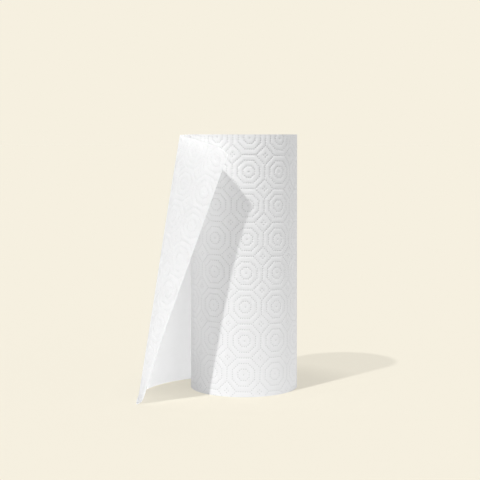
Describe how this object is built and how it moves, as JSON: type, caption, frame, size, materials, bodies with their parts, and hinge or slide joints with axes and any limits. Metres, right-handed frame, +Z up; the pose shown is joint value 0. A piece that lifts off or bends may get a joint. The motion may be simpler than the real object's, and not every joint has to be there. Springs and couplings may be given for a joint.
{
  "type": "paper towel roll",
  "caption": "Upright roll of white embossed paper towel wound on a cardboard core, with its leading sheet hanging loose and flared at the foot.",
  "frame": {"origin": "on the core's axis, in the end face that the roll stands on", "axes": "+Z up along the core, -Y towards the pictured front, +X to the right in the picture"},
  "size_m": [0.1705, 0.1492, 0.2794],
  "materials": {
    "core_board": "matt grey-brown chipboard, spiral wound",
    "tissue": "matt white two-ply tissue, dot embossed"
  },
  "bodies": {
    "root": {"cardboard_core": "core_board", "towel_web": "tissue"}
  },
  "joints": []
}
